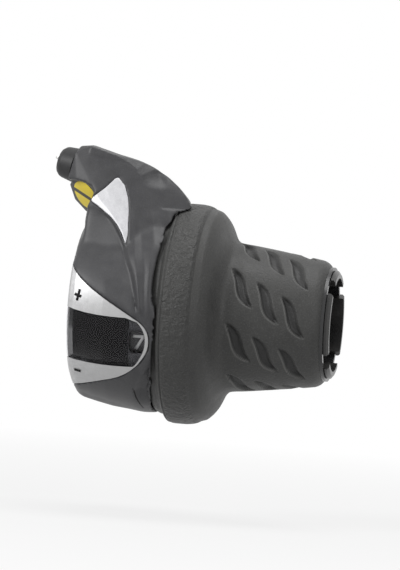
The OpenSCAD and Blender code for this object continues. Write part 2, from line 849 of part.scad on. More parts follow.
module adjuster_barrel() {
  steps = 6;
  end_arc = [
    for (i = [0 : steps])
      let (a = 90 * i / steps)
      [barrel_r - barrel_round + barrel_round * cos(a), barrel_l - barrel_round + barrel_round * sin(a)]
  ];
  color([0.1, 0.1, 0.11]) on_neck() difference() {
    union() {
      rotate_extrude() polygon(concat(
        [[0, side_gap], [barrel_r - 2 * side_gap, side_gap], [barrel_r, 3 * side_gap]],
        end_arc, [[0, barrel_l]]
      ));
      translate([0, 0, -shank_l]) cylinder(h = shank_l + over, r = shank_r);
    }
    translate([0, 0, seat_low - side_gap]) cylinder(h = barrel_l + shank_l, r = seat_r + run_fit);
    translate([0, 0, -shank_l - over]) cylinder(h = shank_l + 3 * over, r = guide_r);
  }
}

module barrel_spring() {
  rise = spring_l - 2 * spring_wire_r - 2 * side_gap;
  n = spring_turns * spring_steps;
  route = [
    for (i = [0 : n])
      let (a = 360 * i / spring_steps)
      [
        spring_coil_r * cos(a), spring_coil_r * sin(a),
        -spring_l + spring_wire_r + side_gap + rise * i / n
      ]
  ];
  color("silver") on_neck() coil_tube(route, spring_wire_r, 6);
}

// A tube along a coil whose axis is Z: each ring stands on the coil's own radius
module coil_tube(route, r, sides) {
  rings = len(route);
  points = [
    for (i = [0 : rings - 1])
      let (
        out = unit([route[i][0], route[i][1], 0])
      )
      for (k = [0 : sides - 1])
        let (g = 360 * k / sides)
        route[i] + r * (cos(g) * out + sin(g) * [0, 0, 1])
  ];
  walls = [
    for (i = [0 : rings - 2]) for (k = [0 : sides - 1])
      [
        i * sides + k, i * sides + (k + 1) % sides,
        (i + 1) * sides + (k + 1) % sides, (i + 1) * sides + k
      ]
  ];
  first = [for (k = [sides - 1 : -1 : 0]) k];
  last = [for (k = [0 : sides - 1]) (rings - 1) * sides + k];
  polyhedron(points, concat(walls, [first, last]), convexity = 8);
}

module rubber_grip() {
  steps = 8;
  rim = [for (p = concat(corner_shares, rim_shares)) [p[1] * collar_r, collar_left + p[0] * collar_w]];
  rim_end_r = rim_shares[len(rim_shares) - 1][1] * collar_r;
  flank = [
    for (p = flank_shares)
      [rim_end_r - p[1] * (rim_end_r - tube_root_r), collar_left + collar_w + p[0] * flank_w]
  ];
  tip = [
    for (i = [0 : steps])
      let (a = 90 * i / steps)
      [tube_tip_r - tip_round + tip_round * cos(a), rubber_right - tip_round + tip_round * sin(a)]
  ];
  inner = [
    [core_r + seat_gap, rubber_right], [core_r + seat_gap, flange_right + seat_gap],
    [rim_r + seat_gap, flange_right + seat_gap],
    [rim_r + seat_gap, collar_left + flange_t / 2], [rim_r - flange_t, collar_left + flange_t / 2],
    [rim_r - flange_t, collar_left]
  ];
  color([0.27, 0.27, 0.26]) difference() {
    along_bar() rotate_extrude() polygon(concat(rim, flank, tip, inner));
    difference() {
      for (row = [0 : leaf_rows - 1]) for (leaf = leaf_shares)
        leaf_cut(tube_left + leaf[0] * tube_l, leaf[1] + 360 * row / leaf_rows);
      translate([tube_left - over, 0, 0]) along_bar()
        cylinder(h = tube_l + 2 * over, r1 = tube_root_r - leaf_depth, r2 = tube_tip_r - leaf_depth);
    }
  }
}

// A cutter with an S-shaped leaf outline, which stands out along the radius
module leaf_cut(x, above) {
  n = 10;
  left = [
    for (i = [0 : n])
      let (t = i / n, bow = sin(360 * t) * leaf_w / 4, half = leaf_w / 2 * pow(sin(180 * t), 0.8))
      [bow - half, (0.5 - t) * leaf_l]
  ];
  right = [
    for (i = [n - 1 : -1 : 1])
      let (t = i / n, bow = sin(360 * t) * leaf_w / 4, half = leaf_w / 2 * pow(sin(180 * t), 0.8))
      [bow + half, (0.5 - t) * leaf_l]
  ];
  rotate([-above, 0, 0]) translate([x, -tube_tip_r / 2, 0]) rotate([90, 0, 0])
    rotate([0, 0, leaf_lean]) linear_extrude(tube_root_r) polygon(concat(left, right));
}

module grip_core() {
  color([0.12, 0.12, 0.12]) difference() {
    union() {
      bar_disc(spool_right, core_right, core_r);
      bar_disc(flange_right - flange_t, flange_right, rim_r);
      bar_ring(collar_left + flange_t / 2 + seat_gap, flange_right, rim_r - flange_t, rim_r);
      intersection() {
        for (k = [0 : rib_n - 1]) along_bar() rotate([0, 0, 360 * k / rib_n])
          translate([0, -flange_t / 2, collar_left + flange_t])
            cube([rim_r, flange_t, flange_right - collar_left - flange_t]);
        bar_disc(collar_left, flange_right, rim_r - flange_t / 2);
      }
    }
    bar_disc(spool_right - over, core_right + over, core_bore_r);
  }
}

module head_place() {
  rotate([head_deg, 0, 0]) translate([wire_x - head_l / 2, -wind_r, 0]) along_bar() children();
}

module cable_spool() {
  color("gray") difference() {
    union() {
      bar_disc(spool_left, groove_left, spool_r);
      bar_disc(spool_left, step_left, groove_r);
      bar_disc(groove_right, step_left, spool_r);
      bar_disc(groove_right, spool_right, hub_r);
    }
    bar_disc(spool_left - over, spool_right + over, core_bore_r);
    head_place() translate([0, 0, -seat_gap]) cylinder(h = head_l + 2 * seat_gap, r = head_r + seat_gap);
  }
}

module wire_head() {
  color("darkgray") difference() {
    head_place() cylinder(h = head_l, r = head_r);
    bar_disc(spool_left, spool_right, core_bore_r + 4 * seat_gap);
    swept_tube(wire_route, wire_d / 2 + seat_gap, 8);
  }
}

module detent_ring() {
  color("slategray") difference() {
    bar_ring(detent_left, detent_left + detent_w, seat_hub_r, detent_r);
    for (k = [0 : gears - 1]) rotate([-k * click_deg, 0, 0])
      translate([detent_left - over, nose_at_r, 0]) along_bar()
        cylinder(h = detent_w + 2 * over, r = notch_r + side_gap);
  }
}

module gear_dial() {
  from = front_angle - (dial_turn + dial_end_deg) + window_drop;
  sweep = dial_turn + 2 * dial_end_deg;
  color([0.05, 0.05, 0.05]) {
    bar_arc(dial_left, dial_right, dial_r - dial_t, dial_r, from, sweep);
    bar_arc(dial_web_left, dial_web_right, seat_hub_r + dial_t, dial_r - dial_t + seat_gap, from, sweep);
    bar_ring(dial_web_left, dial_web_right, seat_hub_r, seat_hub_r + 2 * dial_t);
  }
}

front_cover();
clamp_base();
clamp_screw();
clamp_nut();
cover_screws();
inner_sleeve();
thrust_washer();
detent_spring();
cable_guide();
inner_wire();
indicator_bezel();
indicator_lens();
indicator_card();
silver_insert();
cable_port_cap();
port_disc();
casing_seat();
adjuster_barrel();
barrel_spring();
rubber_grip();
grip_core();
cable_spool();
detent_ring();
gear_dial();
wire_head();
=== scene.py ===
import math

import bmesh
import bpy
from mathutils import Matrix, Vector
from mathutils.bvhtree import BVHTree


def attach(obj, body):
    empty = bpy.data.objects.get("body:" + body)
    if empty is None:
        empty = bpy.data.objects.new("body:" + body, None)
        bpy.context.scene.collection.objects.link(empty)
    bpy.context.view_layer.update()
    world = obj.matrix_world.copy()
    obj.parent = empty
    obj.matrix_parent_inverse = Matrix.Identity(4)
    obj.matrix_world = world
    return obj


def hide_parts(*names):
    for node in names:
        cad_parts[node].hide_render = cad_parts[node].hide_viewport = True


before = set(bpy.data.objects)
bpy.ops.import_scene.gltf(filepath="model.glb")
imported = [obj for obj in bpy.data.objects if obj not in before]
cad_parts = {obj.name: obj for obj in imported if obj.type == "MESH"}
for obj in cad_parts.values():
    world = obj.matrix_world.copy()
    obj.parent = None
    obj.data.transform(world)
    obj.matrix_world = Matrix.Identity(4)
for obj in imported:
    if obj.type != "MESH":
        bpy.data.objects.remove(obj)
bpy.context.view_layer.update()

# The camera stands where the photograph was taken: a little to the right of the part's front,
# level with the bar, and rolled so that the bar falls slightly to the right.
MM = 0.001
view_turn = math.radians(10)
view_roll = math.radians(4.3)
view_distance = 0.9
view_aim = Vector((22.67, 0.91, 7.25)) * MM
photo_scale = 4.08 / MM
photo_height = 570
sensor = 36

right = Vector((math.cos(view_turn), math.sin(view_turn), 0))
up = Vector((0, 0, 1))
back = Vector((math.sin(view_turn), -math.cos(view_turn), 0))
camera_data = bpy.data.cameras.new("photo_camera")
camera_data.sensor_width = sensor
camera_data.lens = photo_scale * view_distance * sensor / photo_height
camera_data.clip_end = 20
camera = bpy.data.objects.new("photo_camera", camera_data)
bpy.context.scene.collection.objects.link(camera)
turned_right = right * math.cos(view_roll) + up * math.sin(view_roll)
turned_up = up * math.cos(view_roll) - right * math.sin(view_roll)
axes = Matrix((turned_right, turned_up, back)).transposed().to_4x4()
camera.matrix_world = Matrix.Translation(view_aim + back * view_distance) @ axes
bpy.context.scene.camera = camera

# The studio: a pale floor that turns white towards its rim, a white world behind it, a key
# lamp at the upper left front, a broad lamp above and a weak one at the right.
bpy.context.scene.view_settings.view_transform = "Standard"
floor_radius = 0.6
floor_height = -0.05


def new_material(name):
    """An empty node material, with its output node."""
    material = bpy.data.materials.new(name)
    material.use_nodes = True
    material.node_tree.nodes.clear()
    output = material.node_tree.nodes.new("ShaderNodeOutputMaterial")
    return material, output


def add(tree, kind, values=None, **settings):
    """Adds a node. values holds numbers, colours or output sockets for its inputs."""
    node = tree.nodes.new(kind)
    for key, value in settings.items():
        setattr(node, key, value)
    for key, value in (values or {}).items():
        if isinstance(value, bpy.types.NodeSocket):
            tree.links.new(value, node.inputs[key])
        else:
            node.inputs[key].default_value = value
    return node


def reckon(tree, operation, first, second=0.0, third=0.0):
    """The result of one sum on values or sockets."""
    values = {0: first, 1: second, 2: third}
    return add(tree, "ShaderNodeMath", values, operation=operation).outputs[0]


def white_to_camera(tree):
    """A value that is 1 where the eye, a mirror or a glass looks straight at the surface."""
    path = add(tree, "ShaderNodeLightPath").outputs
    seen = reckon(tree, "MAXIMUM", path["Is Camera Ray"], path["Is Glossy Ray"])
    return reckon(tree, "MAXIMUM", seen, path["Is Transmission Ray"])


def mix_shaders(tree, factor, first, second, output):
    """Leads two shaders, mixed by a factor, to the output."""
    values = {0: factor, 1: first.outputs[0], 2: second.outputs[0]}
    mix = add(tree, "ShaderNodeMixShader", values)
    tree.links.new(mix.outputs[0], output.inputs["Surface"])


world = bpy.data.worlds.new("studio_white")
world.use_nodes = True
bpy.context.scene.world = world
world_tree = world.node_tree
world_tree.nodes.clear()
mix_shaders(world_tree, white_to_camera(world_tree),
            add(world_tree, "ShaderNodeBackground", {"Color": (1, 1, 1, 1), "Strength": 0.11}),
            add(world_tree, "ShaderNodeBackground", {"Color": (1, 1, 1, 1), "Strength": 1}),
            add(world_tree, "ShaderNodeOutputWorld"))

floor_mesh = bmesh.new()
bmesh.ops.create_circle(floor_mesh, cap_ends=True, segments=96, radius=floor_radius)
bmesh.ops.translate(floor_mesh, verts=floor_mesh.verts, vec=(0, 0, floor_height))
floor_data = bpy.data.meshes.new("studio_floor")
floor_mesh.to_mesh(floor_data)
floor_mesh.free()
studio_floor = bpy.data.objects.new("studio_floor", floor_data)
bpy.context.scene.collection.objects.link(studio_floor)
floor_paint, floor_output = new_material("pale_floor")
floor_tree = floor_paint.node_tree
floor_place = add(floor_tree, "ShaderNodeTexCoord").outputs["Object"]
floor_reach = add(floor_tree, "ShaderNodeVectorMath", {0: floor_place}, operation="LENGTH")
floor_fade = add(floor_tree, "ShaderNodeMapRange",
                 {0: floor_reach.outputs["Value"], 1: 0.08, 2: 0.45, 3: 0.8}).outputs[0]
mix_shaders(floor_tree, reckon(floor_tree, "MULTIPLY", white_to_camera(floor_tree), floor_fade),
            add(floor_tree, "ShaderNodeBsdfDiffuse", {"Color": (0.68, 0.68, 0.68, 1)}),
            add(floor_tree, "ShaderNodeEmission"), floor_output)
floor_data.materials.append(floor_paint)


def soft_lamp(name, place, size, power):
    """A square area lamp that looks at the middle of the part."""
    lamp_data = bpy.data.lights.new(name, "AREA")
    lamp_data.shape = "SQUARE"
    lamp_data.size = size
    lamp_data.energy = power
    lamp = bpy.data.objects.new(name, lamp_data)
    bpy.context.scene.collection.objects.link(lamp)
    lamp.location = place
    lamp.rotation_euler = (Vector(place) - view_aim).to_track_quat("Z", "Y").to_euler()
    return lamp


soft_lamp("lamp_key", (-0.44, -0.42, 0.3), 0.24, 2.9)
soft_lamp("lamp_above", (0.12, -0.02, 0.64), 0.4, 2.3)
soft_lamp("lamp_right", (0.52, -0.46, 0.22), 0.3, 1.0)

# The front cover of the housing: a moulded nylon shell with a horn for the cable, screwed to
# the rear body. The CAD skin is remeshed and softened, its horn and lip are set to the real
# outline, and its panel is sunk to a crease with soft ridges beside it.
def blend_colours(tree, factor, first, second):
    """The colour that lies between two others."""
    values = {0: factor, 6: first, 7: second}
    return add(tree, "ShaderNodeMix", values, data_type="RGBA").outputs[2]


def make_grain_group():
    """Grain of a moulded surface: wrinkles, blotches and pale flecks, each from 0 to 1."""
    group = bpy.data.node_groups.new("moulded_grain", "ShaderNodeTree")
    group.interface.new_socket("Scale", in_out="INPUT", socket_type="NodeSocketFloat")
    for word in ("Wrinkles", "Blotches", "Flecks"):
        group.interface.new_socket(word, in_out="OUTPUT", socket_type="NodeSocketFloat")
    entry = group.nodes.new("NodeGroupInput")
    leave = group.nodes.new("NodeGroupOutput")
    place = add(group, "ShaderNodeTexCoord").outputs["Object"]
    fine = add(group, "ShaderNodeTexNoise",
               {"Vector": place, "Scale": entry.outputs[0], "Detail": 3.0})
    cells = add(group, "ShaderNodeTexVoronoi", {"Vector": place, "Scale": entry.outputs[0]},
                feature="SMOOTH_F1")
    wrinkles = reckon(group, "MULTIPLY_ADD", cells.outputs["Distance"], 0.55, fine.outputs[0])
    coarse = reckon(group, "MULTIPLY", entry.outputs[0], 0.12)
    blotches = add(group, "ShaderNodeTexNoise", {"Vector": place, "Scale": coarse, "Detail": 4.0})
    dense = reckon(group, "MULTIPLY", entry.outputs[0], 1.3)
    dots = add(group, "ShaderNodeTexNoise", {"Vector": place, "Scale": dense, "Detail": 1.0})
    flecks = add(group, "ShaderNodeMapRange", {0: dots.outputs[0], 1: 0.5, 2: 0.72})
    group.links.new(wrinkles, leave.inputs["Wrinkles"])
    group.links.new(blotches.outputs[0], leave.inputs["Blotches"])
    group.links.new(flecks.outputs[0], leave.inputs["Flecks"])
    return group


grain_group = make_grain_group()


def moulded(name, dark, light, rough, grain, depth, fleck=0.15, metal=0.0, rough_swing=0.12,
            gloss=0.5, sheen=0.0):
    """A moulded or painted surface: grain in millimetres, depth of its wrinkles in millimetres."""
    material, output = new_material(name)
    tree = material.node_tree
    field = add(tree, "ShaderNodeGroup", node_tree=grain_group)
    field.inputs["Scale"].default_value = 1 / (grain * MM)
    blotches = field.outputs["Blotches"]
    spread = add(tree, "ShaderNodeMapRange", {0: blotches, 1: 0.3, 2: 0.7}).outputs[0]
    colour = blend_colours(tree, spread, (*dark, 1), (*light, 1))
    pale = tuple(min(1.0, c * 1.9 + 0.01) for c in light)
    fleck_share = reckon(tree, "MULTIPLY", field.outputs["Flecks"], fleck)
    colour = blend_colours(tree, fleck_share, colour, (*pale, 1))
    roughness = add(tree, "ShaderNodeMapRange", {
        0: blotches, 1: 0.2, 2: 0.8, 3: rough - rough_swing / 2, 4: rough + rough_swing / 2})
    bump = add(tree, "ShaderNodeBump", {
        "Strength": 1.0, "Distance": depth * MM, "Height": field.outputs["Wrinkles"]})
    shader = add(tree, "ShaderNodeBsdfPrincipled", {
        "Base Color": colour, "Roughness": roughness.outputs[0], "Normal": bump.outputs[0],
        "Metallic": metal, "Specular IOR Level": gloss, "Sheen Weight": sheen,
        "Sheen Roughness": 0.35})
    tree.links.new(shader.outputs[0], output.inputs["Surface"])
    return material, tree, shader, colour


def dress(node, material):
    """Gives a CAD node a material."""
    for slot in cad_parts[node].material_slots:
        slot.material = material


def piece_from(shape, name, body, slot, material, *stands_for):
    """Turns a bmesh into a smooth-shaded piece that rides on a body."""
    mesh = bpy.data.meshes.new(name)
    shape.to_mesh(mesh)
    shape.free()
    mesh.shade_smooth()
    mesh.materials.append(material)
    piece = bpy.data.objects.new(name, mesh)
    bpy.context.scene.collection.objects.link(piece)
    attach(piece, body)
    if stands_for:
        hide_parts(*stands_for)
    return piece


def remeshed(node, voxel):
    """A bmesh with the skin of a CAD node, in small even faces."""
    source = bmesh.new()
    source.from_mesh(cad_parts[node].data)
    bmesh.ops.remove_doubles(source, verts=source.verts, dist=0.002 * MM)
    mesh = bpy.data.meshes.new("blank")
    source.to_mesh(mesh)
    source.free()
    blank = bpy.data.objects.new("blank", mesh)
    bpy.context.scene.collection.objects.link(blank)
    remesh = blank.modifiers.new("even", "REMESH")
    remesh.mode = "VOXEL"
    remesh.voxel_size = voxel * MM
    depsgraph = bpy.context.evaluated_depsgraph_get()
    even = bpy.data.meshes.new_from_object(blank.evaluated_get(depsgraph))
    shape = bmesh.new()
    shape.from_mesh(even)
    bpy.data.objects.remove(blank)
    bpy.data.meshes.remove(mesh)
    bpy.data.meshes.remove(even)
    return shape


def soften(shape, verts, rounds, factor=0.5):
    """Relaxes some of a bmesh's vertices."""
    for _ in range(rounds):
        bmesh.ops.smooth_vert(shape, verts=verts, factor=factor,
                              use_axis_x=True, use_axis_y=True, use_axis_z=True)


def ramp(value, low, high):
    """Rises smoothly from 0 at low to 1 at high."""
    share = min(1.0, max(0.0, (value - low) / (high - low)))
    return share * share * (3 - 2 * share)


def fold(x, low, high):
    """Rises evenly from 0 at low to 1 at high."""
    return min(1.0, max(0.0, (x - low) / (high - low)))


def along(value, table):
    """The value that a table of pairs gives between its points."""
    for (a, first), (b, second) in zip(table, table[1:]):
        if value < b:
            return first + (second - first) * max(0.0, (value - a) / (b - a))
    return table[-1][1]


def span_to(x, z, line):
    """Shortest distance from a point to a line of points."""
    best = 1e9
    for (ax, az), (bx, bz) in zip(line, line[1:]):
        ux, uz = bx - ax, bz - az
        share = min(1.0, max(0.0, ((x - ax) * ux + (z - az) * uz) / (ux * ux + uz * uz)))
        best = min(best, math.hypot(x - ax - share * ux, z - az - share * uz))
    return best


def inside(x, z, ring):
    """True where a point lies inside a closed ring of points."""
    odd = False
    for (ax, az), (bx, bz) in zip(ring, ring[1:] + ring[:1]):
        if (az > z) != (bz > z) and x < ax + (bx - ax) * (z - az) / (bz - az):
            odd = not odd
    return odd


# Edges on the cover's front, as points (x, z) in millimetres.
bezel_edge = [
    (-5.6, 10.2), (-4.4, 9.0), (1.7, 4.9), (9.7, 0.6), (13.3, -1.4), (15.1, -5.1), (15.0, -8.5),
    (12.0, -13.5), (4.6, -17.3), (-2.0, -18.7), (-5.6, -19.4)
]
insert_edge = [
    (-2.6, 25.8), (2.1, 31.2), (4.1, 30.7), (5.8, 27.1), (6.9, 21.4), (7.7, 15.5), (6.2, 18.2),
    (4.3, 21.1), (1.6, 23.6), (-2.6, 25.8)
]
bevel_edge = [
    (-4.6, 38.9), (-2.0, 38.3), (0.5, 37.8), (3.0, 36.7), (5.6, 35.6), (7.4, 34.1), (8.6, 32.5),
    (9.2, 30.8), (9.7, 29.2)
]
# The bevel's y at each point of its edge, and how steeply it falls away, by x.
bevel_face = [-12.3, -12.3, -12.3, -12.3, -12.3, -12.6, -12.95, -13.4, -13.9]
bevel_slope = [(-4.6, 2.6), (3, 2.2), (5.6, 1.7), (7.4, 1.2), (9.7, 0.85)]
# Pairs (z, x) along the panel's crease, the dark side of it, the dip, the ridge and the bulge.
crease_at = [
    (-4, 12.6), (-1.5, 12.2), (2.5, 11.55), (4.9, 11.05), (7.7, 10.2), (9.5, 9.45), (11.4, 8.4),
    (13, 7.6), (15.4, 6.6), (17.1, 5.7), (18.5, 4.8), (20.9, 3.0), (22, 2.1), (23.2, 0.7), (25, -2)
]
dark_at = [
    (-2, 13.8), (4, 12.7), (9.2, 11.7), (11.6, 10.8), (13.2, 10.25), (15.6, 9.75), (19.3, 8.75),
    (22.9, 7.7)
]
dip_at = [
    (-2, 14.5), (4, 13.9), (9.3, 13.4), (11.7, 12.75), (13.4, 12.2), (15.8, 11.65), (19.4, 10.4),
    (23, 9.4)
]
ridge_at = [
    (-2, 15.6), (2.8, 15.1), (6.3, 14.9), (9.5, 14.7), (11.9, 14.5), (13.6, 14.4), (16, 14.6),
    (20, 13.5), (24, 12.5)
]
bulge_at = [(-19.5, 11.4), (-17.6, 12.2), (-15.3, 13.6), (-13.3, 15.4), (-11, 16.5)]
# How far the lip goes to the right, by z, and how far the horn's top comes down, by x.
lip_shift = [
    (-22, 0.9), (-14, 1.2), (-3.1, 1.3), (-0.8, 1.0), (2.8, 0.4), (5.2, 0.3), (8.8, 0.5),
    (12, 0.85), (16, 1.8), (18, 2.2), (20, 2.3), (22, 1.6), (25, 0)
]
top_drop = [
    (-4.5, 0), (-2.7, 0.45), (-1.5, 0.68), (0, 0.73), (2.4, 0.65), (4.9, 0.43), (7.5, 0.24),
    (10, 0.12), (13, 0.24), (20, 0.3)
]
chin_rise = 0.55
brow_drop = 0.55
insert_bow = 1.25
panel_sink = 0.85
ridge_rise = 0.45
bulge_sink = 1.05


def horn_warp(v):
    """Sets a vertex of the horn or its insert from the CAD skin to the real outline."""
    x, z = v.co.x / MM, v.co.z / MM
    low = brow_drop * ramp(x, -2.5, 1.0) * (1 - ramp(x, 9, 12)) * ramp(z, 11, 15.5)
    z -= low + (along(x, top_drop) - low) * ramp(z, 31, 36)
    share = fold(0.5 * (x + 2.6) - 0.5 * (z - 25.8), 0, 10.3)
    near = 1 - ramp(abs(x + z - 23.2) * 0.707, 0, 3.6)
    bow = insert_bow * math.sin(math.pi * share) * near
    v.co.x, v.co.z = (x + 0.707 * bow) * MM, (z + 0.707 * bow) * MM


def lip_warp(v):
    """Moves a vertex of the cover's lip, or of the bezel's end beside it, to the real line."""
    x, y, z = (c / MM for c in v.co)
    v.co.z += chin_rise * ramp(-z, 13.5, 18.5) * (1 - ramp(x, 2, 11)) * ramp(-y, 3, 8) * MM
    if y < -8 and z < 25:
        v.co.x += along(z, lip_shift) * ramp(x, 13.4, 16.2) * ramp(-y, 8, 13) * MM


def lip_foot(z):
    """x at which the lip starts at a height."""
    return 15.2 - 0.12 * max(0, z - 20)


def warped_copy(node, move, body, slot, material):
    """A copy of a CAD node that stands for it, with its vertices moved and its edges kept sharp."""
    shape = bmesh.new()
    shape.from_mesh(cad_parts[node].data)
    for v in shape.verts:
        move(v)
    for edge in shape.edges:
        edge.smooth = len(edge.link_faces) == 2 and edge.calc_face_angle() < math.radians(35)
    return piece_from(shape, node + "_skin", body, slot, material, node)


# The horn and the lip go to their lines, and the lip flares outwards and forwards.
cover = remeshed("front_cover", 0.3)
soften(cover, cover.verts, 2)
for v in cover.verts:
    x, y, z = (c / MM for c in v.co)
    horn_warp(v)
    lip_warp(v)
    if y < -8 and z < 25:
        flare = ramp(x, 13.5, 15.8) * ramp(-y, 8, 13) * MM
        beside = (1 - ramp(z, 0, 7)) * (1 - ramp(-z, 18, 22))
        v.co.x += 0.95 * ramp(x, 14.9, 15.6) * ramp(-y, 8, 13) * beside * MM
        v.co.y -= 0.4 * flare * ramp(-z, -1, 3) * (1 - ramp(-z, 14, 20))
        v.co.y -= 0.5 * flare * ramp(z, 12, 17)
        v.co.z += 0.5 * flare * ramp(z, 12, 17) * (1 - ramp(z, 17.5, 20))

# The skin is smoothed, but not at the edges of the bezel, the insert and the bevel.
loose = []
lip = []
for v in cover.verts:
    x, y, z = (c / MM for c in v.co)
    if x > lip_foot(z) and y < -8 and z < 24:
        lip.append(v)
    if y > -1 and z < 26 or x > lip_foot(z) or x < -3.6 and z > 28:
        continue
    clear = min(span_to(x, z, bezel_edge), span_to(x, z, insert_edge)) if y < -6 else 2
    if z > 28 and y < -9:
        clear = min(clear, span_to(x, z, bevel_edge))
    if clear > 0.7 and math.hypot(y, z) > 21.5:
        loose.append(v)
soften(cover, loose, 14)
soften(cover, lip, 12)
ledge = [v for v in loose if v.co.z > 9 * MM and v.co.z < 24 * MM and v.co.y < -9 * MM]
soften(cover, ledge, 40)

# The panel sinks towards its crease, and rises again to a ridge before the lip.
cover.normal_update()
moves = []
for v in cover.verts:
    x, y, z = (c / MM for c in v.co)
    out = v.normal
    if y > -3 or out.y > -0.05 or z > 26 or math.hypot(y + 1.5, z) < (22.3 if z < 12 else 18.5):
        continue
    if z > 15 and inside(x, z, insert_edge):
        continue
    crease, dark, dip, ridge = (along(z, table) for table in (crease_at, dark_at, dip_at, ridge_at))
    shift = 0.0
    if z > -3:
        sunk = fold(x, -6, crease) if x < crease else 1 - fold(x, crease, crease + 1.3)
        first_rise = fold(x, crease, dark) - fold(x, dark, dip)
        second_rise = fold(x, dip, ridge) - fold(x, ridge, ridge + 1.6)
        shift -= panel_sink * sunk
        shift += ridge_rise * first_rise + ridge_rise * second_rise
        if z < 12:
            shift *= ramp(span_to(x, z, bezel_edge), 0.0, 5.0 if x < crease else 1.5)
        elif x > crease + 0.3:
            shift *= ramp(span_to(x, z, insert_edge), 0.1, 0.8)
        shift *= ramp(z, -3, 1) * (1 - ramp(z, 21.5, 25.5))
    elif z < -10:
        fall = fold(x - along(z, bulge_at), -0.1, 1.5) * (1 - 0.5 * ramp(x, 15.9, 17))
        shift -= bulge_sink * fall * ramp(-z, 10, 12.5) * (1 - ramp(-z, 19, 23))
    if shift:
        moves.append((v, out * shift * MM))
for v, move in moves:
    v.co += move
soften(cover, cover.verts, 1, 0.3)

# The horn's rounded top edge becomes a flat bevel with a clean line below it.
cover.normal_update()
facet = []
front_ring = bevel_edge + [(9.7, 20), (-20, 20), (-20, 45), (-4.6, 45)]
bevel_points = [
    (ax + (bx - ax) * k / 6, face + (next_face - face) * k / 6, az + (bz - az) * k / 6)
    for (ax, az), (bx, bz), face, next_face
    in zip(bevel_edge, bevel_edge[1:], bevel_face, bevel_face[1:]) for k in range(7)]
for v in cover.verts:
    x, y, z = (c / MM for c in v.co)
    if y > -6 or z < 27 or x < -4.4 or v.normal.y > -0.1:
        continue
    span, face, at_x = min((math.hypot(x - bx, z - bz), by, bx) for bx, by, bz in bevel_points)
    weight = ramp(z, 29.3, 32.5) * ramp(-v.normal.y, 0.1, 0.4) * (1 - ramp(span, 3.5, 6))
    if inside(x, z, front_ring) and x > -4.6 and z < 39.2:
        if span < 1.6:
            v.co.y += weight * min(0, face - 0.3 * span - y) * MM
    else:
        v.co.y += weight * (face + along(at_x, bevel_slope) * span - y) * MM
        if span > 0.9:
            facet.append(v)
soften(cover, facet, 4)
housing_paint = moulded("housing_plastic", (0.03, 0.03, 0.0325), (0.042, 0.042, 0.0445),
                        rough=0.48, grain=0.3, depth=0.016, fleck=0.25, gloss=0.4, sheen=0.12)[0]
cover_faces = BVHTree.FromBMesh(cover)
piece_from(cover, "front_cover_skin", "housing", "housing", housing_paint, "front_cover")

# The rear body with its clamp, moulded in one piece, and the zinc-plated screws and nut that
# hold the halves together and on the bar.
def wear_edges(piece, width):
    """Rounds a piece's sharp edges a little, by a width in millimetres."""
    rounding = piece.modifiers.new("worn_edges", "BEVEL")
    rounding.width = width * MM
    rounding.segments = 2
    rounding.limit_method = "ANGLE"
    rounding.angle_limit = math.radians(50)


base_paint = moulded("rear_body_plastic", (0.04, 0.04, 0.042), (0.055, 0.055, 0.058),
                     rough=0.5, grain=0.35, depth=0.012)[0]
steel_paint = moulded("zinc_steel", (0.42, 0.42, 0.43), (0.6, 0.6, 0.6),
                      rough=0.34, grain=0.25, depth=0.004, fleck=0.1, metal=0.95)[0]
dress("clamp_base", base_paint)
for name in ("clamp_screw", "clamp_nut", "cover_screws", "thrust_washer", "detent_spring"):
    dress(name, steel_paint)
for name in ("clamp_base", "clamp_screw", "clamp_nut", "cover_screws"):
    wear_edges(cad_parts[name], 0.15)

# The rubber grip, moulded over the core: rings of a turned outline with the collar's fine
# line, and three rows of slanted leaf grooves in each eighth of the tube, steep on the left
# and sloping on the right.
rubber_outline = [
    (14.8, 22.85), (14.8, 24.0), (15.1, 24.4), (15.9, 24.8), (16.8, 25.0), (17.25, 25.3),
    (17.6, 25.98), (17.85, 26.5), (18.15, 26.74), (18.32, 26.58), (18.45, 26.56), (18.6, 26.82),
    (19.5, 26.96), (21.5, 26.97), (22.6, 26.93), (24.0, 26.72), (24.9, 26.4), (25.5, 26.05),
    (26.2, 25.8), (26.9, 25.55), (27.5, 25.05), (28.3, 24.2), (29.1, 23.05), (29.7, 21.8),
    (30.3, 20.5), (31.1, 19.25), (32.1, 18.4), (33.6, 18.08), (37.2, 17.7), (47.5, 16.3),
    (52.5, 15.55), (53.5, 15.3), (54.3, 14.85), (54.85, 14.3), (55.08, 13.98)
]
rubber_inner = [(55.1, 13.97), (26.2, 13.97), (26.2, 24.2), (15.6, 24.2), (15.6, 22.85)]
leaf_marks = [(35.85, 25.0), (42.3, 14.5), (48.6, 4.0)]
leaf_pitch = 45
leaf_length = 11.9
leaf_half = 1.65
leaf_bend = 0.55
leaf_sine, leaf_cosine = 0.515, 0.857
groove_depth = 1.0
grip_sides = 448


def curve_through(points, step):
    """Points of a smooth line through given ones, about a step apart."""
    made = []
    for i in range(len(points) - 1):
        a, b, c, d = (points[min(max(i + k, 0), len(points) - 1)] for k in (-1, 0, 1, 2))
        count = max(1, round(math.dist(b, c) / step))
        for k in range(count):
            t = k / count
            made.append(tuple(
                0.5 * (2 * q + t * (r - p) + t * t * (2 * p - 5 * q + 4 * r - s)
                       + t ** 3 * (3 * q - p - 3 * r + s))
                for p, q, r, s in zip(a, b, c, d)))
    return made + [points[-1]]


